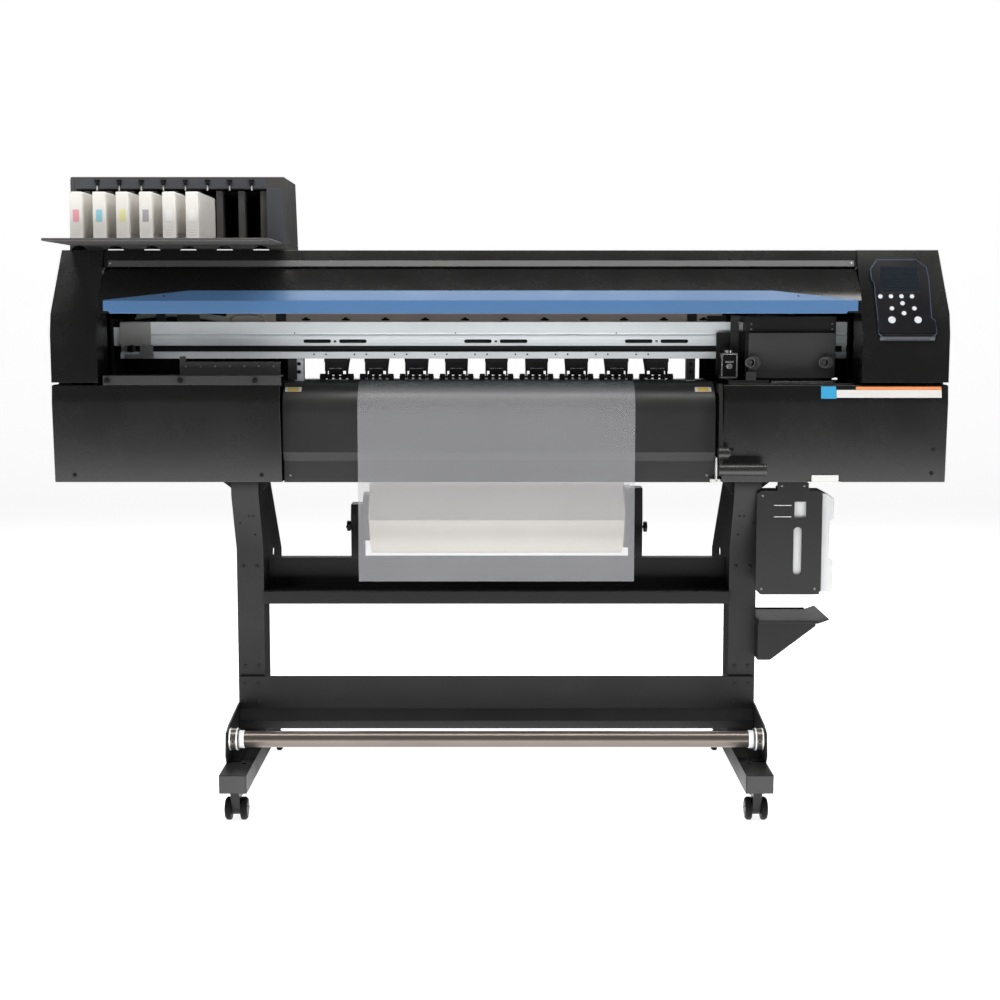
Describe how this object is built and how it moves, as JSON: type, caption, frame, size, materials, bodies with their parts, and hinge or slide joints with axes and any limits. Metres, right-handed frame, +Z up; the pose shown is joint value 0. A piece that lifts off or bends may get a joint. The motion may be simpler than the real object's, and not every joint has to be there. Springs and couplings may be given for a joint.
{
  "type": "roll-fed printer and cutter",
  "caption": "Wide roll-fed printer and cutter on a wheeled stand, with a side-loading ink unit, a parked print and cut carriage, a rear film roll and a take-up bar.",
  "frame": {"origin": "on the floor under the middle of the machine's box", "axes": "+Z up, +X to the operator's right along the machine's width, front towards -Y"},
  "size_m": [1.965, 0.7, 1.392],
  "materials": {
    "stand_paint": "satin powder coat",
    "cover_black": "fine moulded texture",
    "trim_blue": "satin",
    "rail_metal": "anodised satin",
    "frame_metal": "satin",
    "platen_metal": "dark anodised",
    "apron_grey": "satin",
    "ink_grey": "satin",
    "cartridge_white": "satin",
    "film_clear": "frosted translucent film",
    "roll_film": "wound film",
    "roller_steel": "fine grit",
    "pinch_black": "satin",
    "carriage_grey": "satin",
    "carriage_black": "satin",
    "cutter_metal": "bright",
    "bar_metal": "satin",
    "bottle_white": "translucent white",
    "panel_black": "gloss",
    "key_grey": "satin",
    "lever_black": "satin",
    "holder_black": "satin",
    "caster_black": "satin",
    "wheel_black": "satin"
  },
  "bodies": {
    "machine": {"leg_left": "stand_paint", "leg_right": "stand_paint", "feet": "stand_paint", "upper_crossbeam": "stand_paint", "lower_crossbeam": "stand_paint", "bar_brackets": "frame_metal", "base_frame": "frame_metal", "platen": "platen_metal", "front_apron": "apron_grey", "lower_cover_left": "cover_black", "lower_cover_right": "cover_black", "tower_left": "cover_black", "tower_right": "cover_black", "top_cover": "cover_black", "y_rail": "rail_metal", "ink_holder": "ink_grey", "ink_tray": "ink_grey", "control_panel": "panel_black", "roll_rail": "stand_paint", "film": "film_clear", "waste_bracket": "apron_grey", "side_shelf": "frame_metal"},
    "front_cover": {"front_cover": "cover_black", "front_trim": "trim_blue"},
    "carriage": {"carriage": "carriage_black", "carriage_cover": "carriage_grey"},
    "cutter": {"cutter_head": "cutter_metal"},
    "feed_roller": {"feed_roller": "roller_steel"},
    "pinch_arms": {"pinch_arms": "pinch_black"},
    "pinch_rollers": {"pinch_rollers": "pinch_black"},
    "clamp_lever": {"clamp_lever": "lever_black"},
    "take_up_bar": {"take_up_bar": "bar_metal"},
    "media_roll": {"media_roll": "roll_film"},
    "roll_holder_left": {"roll_holder_left": "holder_black"},
    "roll_holder_right": {"roll_holder_right": "holder_black"},
    "waste_bottle": {"waste_bottle": "bottle_white"},
    "cartridge_1": {"cartridge_1": "cartridge_white"},
    "cartridge_2": {"cartridge_2": "cartridge_white"},
    "cartridge_3": {"cartridge_3": "cartridge_white"},
    "cartridge_4": {"cartridge_4": "cartridge_white"},
    "cartridge_5": {"cartridge_5": "cartridge_white"},
    "cartridge_6": {"cartridge_6": "cartridge_white"},
    "key_1": {"key_1": "key_grey"},
    "key_2": {"key_2": "key_grey"},
    "key_3": {"key_3": "key_grey"},
    "key_4": {"key_4": "key_grey"},
    "key_5": {"key_5": "key_grey"},
    "key_6": {"key_6": "key_grey"},
    "key_7": {"key_7": "key_grey"},
    "key_8": {"key_8": "key_grey"},
    "key_9": {"key_9": "key_grey"},
    "key_10": {"key_10": "key_grey"},
    "caster_fork_1": {"caster_fork_1": "caster_black"},
    "caster_wheels_1": {"caster_wheels_1": "wheel_black"},
    "caster_fork_2": {"caster_fork_2": "caster_black"},
    "caster_wheels_2": {"caster_wheels_2": "wheel_black"},
    "caster_fork_3": {"caster_fork_3": "caster_black"},
    "caster_wheels_3": {"caster_wheels_3": "wheel_black"},
    "caster_fork_4": {"caster_fork_4": "caster_black"},
    "caster_wheels_4": {"caster_wheels_4": "wheel_black"}
  },
  "joints": [
    {"name": "front_cover_hinge", "type": "hinge", "parent": "machine", "child": "front_cover", "pos_m": [0, -0.1135, 1.1925], "axis": [1, 0, 0], "range_deg": [-55, 0]},
    {"name": "carriage_slide", "type": "slide", "parent": "machine", "child": "carriage", "axis": [1, 0, 0], "range_m": [-1.26, 0]},
    {"name": "cutter_drop", "type": "slide", "parent": "carriage", "child": "cutter", "axis": [0, 0, 1], "range_m": [-0.0025, 0]},
    {"name": "feed_roller_spin", "type": "hinge", "parent": "machine", "child": "feed_roller", "pos_m": [0, -0.03, 0.9302], "axis": [1, 0, 0], "continuous": true},
    {"name": "clamp_lever_pivot", "type": "hinge", "parent": "machine", "child": "clamp_lever", "pos_m": [0.482, -0.06, 0.918], "axis": [1, 0, 0], "range_deg": [-30, 0]},
    {"name": "pinch_arms_lift", "type": "hinge", "parent": "machine", "child": "pinch_arms", "pos_m": [0, 0.03, 0.997], "axis": [1, 0, 0], "range_deg": [-6, 0]},
    {"name": "pinch_rollers_spin", "type": "hinge", "parent": "pinch_arms", "child": "pinch_rollers", "pos_m": [0, -0.03, 0.9502], "axis": [1, 0, 0], "continuous": true},
    {"name": "take_up_bar_spin", "type": "hinge", "parent": "machine", "child": "take_up_bar", "pos_m": [0, -0.23, 0.161], "axis": [1, 0, 0], "continuous": true},
    {"name": "media_roll_spin", "type": "hinge", "parent": "machine", "child": "media_roll", "pos_m": [0, 0.2409, 0.6], "axis": [1, 0, 0], "continuous": true},
    {"name": "roll_holder_left_slide", "type": "slide", "parent": "machine", "child": "roll_holder_left", "axis": [-1, 0, 0], "range_m": [0, 0.05]},
    {"name": "roll_holder_right_slide", "type": "slide", "parent": "machine", "child": "roll_holder_right", "axis": [1, 0, 0], "range_m": [0, 0.05]},
    {"name": "waste_bottle_slide", "type": "slide", "parent": "machine", "child": "waste_bottle", "axis": [1, 0, 0], "range_m": [0, 0.16]},
    {"name": "cartridge_1_slide", "type": "slide", "parent": "machine", "child": "cartridge_1", "axis": [0, -1, 0], "range_m": [0, 0.1]},
    {"name": "cartridge_2_slide", "type": "slide", "parent": "machine", "child": "cartridge_2", "axis": [0, -1, 0], "range_m": [0, 0.1]},
    {"name": "cartridge_3_slide", "type": "slide", "parent": "machine", "child": "cartridge_3", "axis": [0, -1, 0], "range_m": [0, 0.1]},
    {"name": "cartridge_4_slide", "type": "slide", "parent": "machine", "child": "cartridge_4", "axis": [0, -1, 0], "range_m": [0, 0.1]},
    {"name": "cartridge_5_slide", "type": "slide", "parent": "machine", "child": "cartridge_5", "axis": [0, -1, 0], "range_m": [0, 0.1]},
    {"name": "cartridge_6_slide", "type": "slide", "parent": "machine", "child": "cartridge_6", "axis": [0, -1, 0], "range_m": [0, 0.1]},
    {"name": "key_1_press", "type": "slide", "parent": "machine", "child": "key_1", "axis": [0, 0.8992, -0.4375], "range_m": [0, 0.001], "stiffness_N_per_m": 400},
    {"name": "key_2_press", "type": "slide", "parent": "machine", "child": "key_2", "axis": [0, 0.8992, -0.4375], "range_m": [0, 0.001], "stiffness_N_per_m": 400},
    {"name": "key_3_press", "type": "slide", "parent": "machine", "child": "key_3", "axis": [0, 0.8992, -0.4375], "range_m": [0, 0.001], "stiffness_N_per_m": 400},
    {"name": "key_4_press", "type": "slide", "parent": "machine", "child": "key_4", "axis": [0, 0.8992, -0.4375], "range_m": [0, 0.001], "stiffness_N_per_m": 400},
    {"name": "key_5_press", "type": "slide", "parent": "machine", "child": "key_5", "axis": [0, 0.8992, -0.4375], "range_m": [0, 0.001], "stiffness_N_per_m": 400},
    {"name": "key_6_press", "type": "slide", "parent": "machine", "child": "key_6", "axis": [0, 0.8992, -0.4375], "range_m": [0, 0.001], "stiffness_N_per_m": 400},
    {"name": "key_7_press", "type": "slide", "parent": "machine", "child": "key_7", "axis": [0, 0.8992, -0.4375], "range_m": [0, 0.001], "stiffness_N_per_m": 400},
    {"name": "key_8_press", "type": "slide", "parent": "machine", "child": "key_8", "axis": [0, 0.8992, -0.4375], "range_m": [0, 0.001], "stiffness_N_per_m": 400},
    {"name": "key_9_press", "type": "slide", "parent": "machine", "child": "key_9", "axis": [0, 0.8992, -0.4375], "range_m": [0, 0.001], "stiffness_N_per_m": 400},
    {"name": "key_10_press", "type": "slide", "parent": "machine", "child": "key_10", "axis": [0, 0.8992, -0.4375], "range_m": [0, 0.001], "stiffness_N_per_m": 400},
    {"name": "caster_swivel_1", "type": "hinge", "parent": "machine", "child": "caster_fork_1", "pos_m": [-0.571, -0.315, 0.06], "axis": [0, 0, 1], "continuous": true},
    {"name": "caster_roll_1", "type": "hinge", "parent": "caster_fork_1", "child": "caster_wheels_1", "pos_m": [-0.571, -0.297, 0.025], "axis": [1, 0, 0], "continuous": true},
    {"name": "caster_swivel_2", "type": "hinge", "parent": "machine", "child": "caster_fork_2", "pos_m": [-0.571, 0.315, 0.06], "axis": [0, 0, 1], "continuous": true},
    {"name": "caster_roll_2", "type": "hinge", "parent": "caster_fork_2", "child": "caster_wheels_2", "pos_m": [-0.571, 0.297, 0.025], "axis": [1, 0, 0], "continuous": true},
    {"name": "caster_swivel_3", "type": "hinge", "parent": "machine", "child": "caster_fork_3", "pos_m": [0.555, -0.315, 0.06], "axis": [0, 0, 1], "continuous": true},
    {"name": "caster_roll_3", "type": "hinge", "parent": "caster_fork_3", "child": "caster_wheels_3", "pos_m": [0.555, -0.297, 0.025], "axis": [1, 0, 0], "continuous": true},
    {"name": "caster_swivel_4", "type": "hinge", "parent": "machine", "child": "caster_fork_4", "pos_m": [0.555, 0.315, 0.06], "axis": [0, 0, 1], "continuous": true},
    {"name": "caster_roll_4", "type": "hinge", "parent": "caster_fork_4", "child": "caster_wheels_4", "pos_m": [0.555, 0.297, 0.025], "axis": [1, 0, 0], "continuous": true}
  ],
  "couplings": [
    {"joint": "pinch_arms_lift", "follows": "clamp_lever_pivot", "ratio": 0.2},
    {"joint": "pinch_rollers_spin", "follows": "feed_roller_spin", "ratio": -1.7143}
  ]
}
